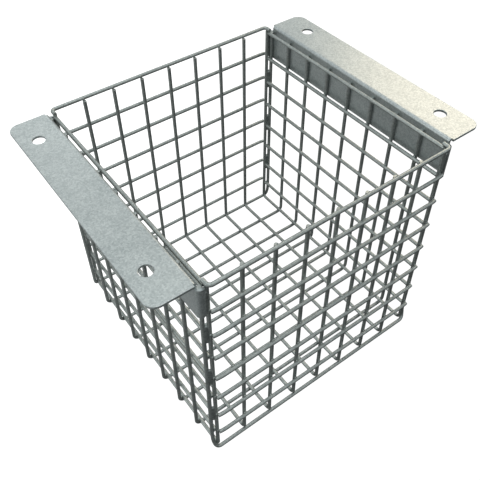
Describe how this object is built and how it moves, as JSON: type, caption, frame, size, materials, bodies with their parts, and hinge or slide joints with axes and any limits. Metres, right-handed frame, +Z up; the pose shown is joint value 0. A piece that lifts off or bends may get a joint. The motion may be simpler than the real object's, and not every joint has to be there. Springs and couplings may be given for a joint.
{
  "type": "wire mesh container",
  "caption": "Open-top square wire mesh container with a folded angle bracket along each side for hanging it under a flat surface.",
  "frame": {"origin": "middle of the container's footprint, on the plane its floor wires stand on", "axes": "+X across the two brackets, towards the right bracket; +Y along the brackets, towards the back wall; +Z up, out of the open top"},
  "size_m": [0.277, 0.2132, 0.209],
  "materials": {
    "galvanised_wire": "hot dip galvanised, satin",
    "galvanised_plate": "galvanised sheet, finely mottled satin",
    "weld": "galvanised weld bead, satin"
  },
  "bodies": {
    "root": {"side_wire_front": "galvanised_wire", "side_wire_1": "galvanised_wire", "side_wire_2": "galvanised_wire", "side_wire_3": "galvanised_wire", "side_wire_4": "galvanised_wire", "side_wire_5": "galvanised_wire", "side_wire_6": "galvanised_wire", "side_wire_7": "galvanised_wire", "side_wire_back": "galvanised_wire", "end_wire_0": "galvanised_wire", "end_wire_1": "galvanised_wire", "end_wire_2": "galvanised_wire", "end_wire_3": "galvanised_wire", "end_wire_4": "galvanised_wire", "end_wire_5": "galvanised_wire", "end_wire_6": "galvanised_wire", "end_wire_7": "galvanised_wire", "end_wire_8": "galvanised_wire", "front_rail_1": "galvanised_wire", "front_rail_2": "galvanised_wire", "front_rail_3": "galvanised_wire", "front_rail_4": "galvanised_wire", "front_rail_5": "galvanised_wire", "front_rail_6": "galvanised_wire", "front_rail_7": "galvanised_wire", "front_rail_8": "galvanised_wire", "back_rail_1": "galvanised_wire", "back_rail_2": "galvanised_wire", "back_rail_3": "galvanised_wire", "back_rail_4": "galvanised_wire", "back_rail_5": "galvanised_wire", "back_rail_6": "galvanised_wire", "back_rail_7": "galvanised_wire", "back_rail_8": "galvanised_wire", "left_rail_1": "galvanised_wire", "left_rail_2": "galvanised_wire", "left_rail_3": "galvanised_wire", "left_rail_4": "galvanised_wire", "left_rail_5": "galvanised_wire", "left_rail_6": "galvanised_wire", "left_rail_7": "galvanised_wire", "left_rail_8": "galvanised_wire", "right_rail_1": "galvanised_wire", "right_rail_2": "galvanised_wire", "right_rail_3": "galvanised_wire", "right_rail_4": "galvanised_wire", "right_rail_5": "galvanised_wire", "right_rail_6": "galvanised_wire", "right_rail_7": "galvanised_wire", "right_rail_8": "galvanised_wire", "left_bracket": "galvanised_plate", "right_bracket": "galvanised_plate", "weld_front_left": "weld", "weld_front_right": "weld", "weld_back_left": "weld", "weld_back_right": "weld", "left_bracket_weld": "weld", "right_bracket_weld": "weld"}
  },
  "joints": []
}
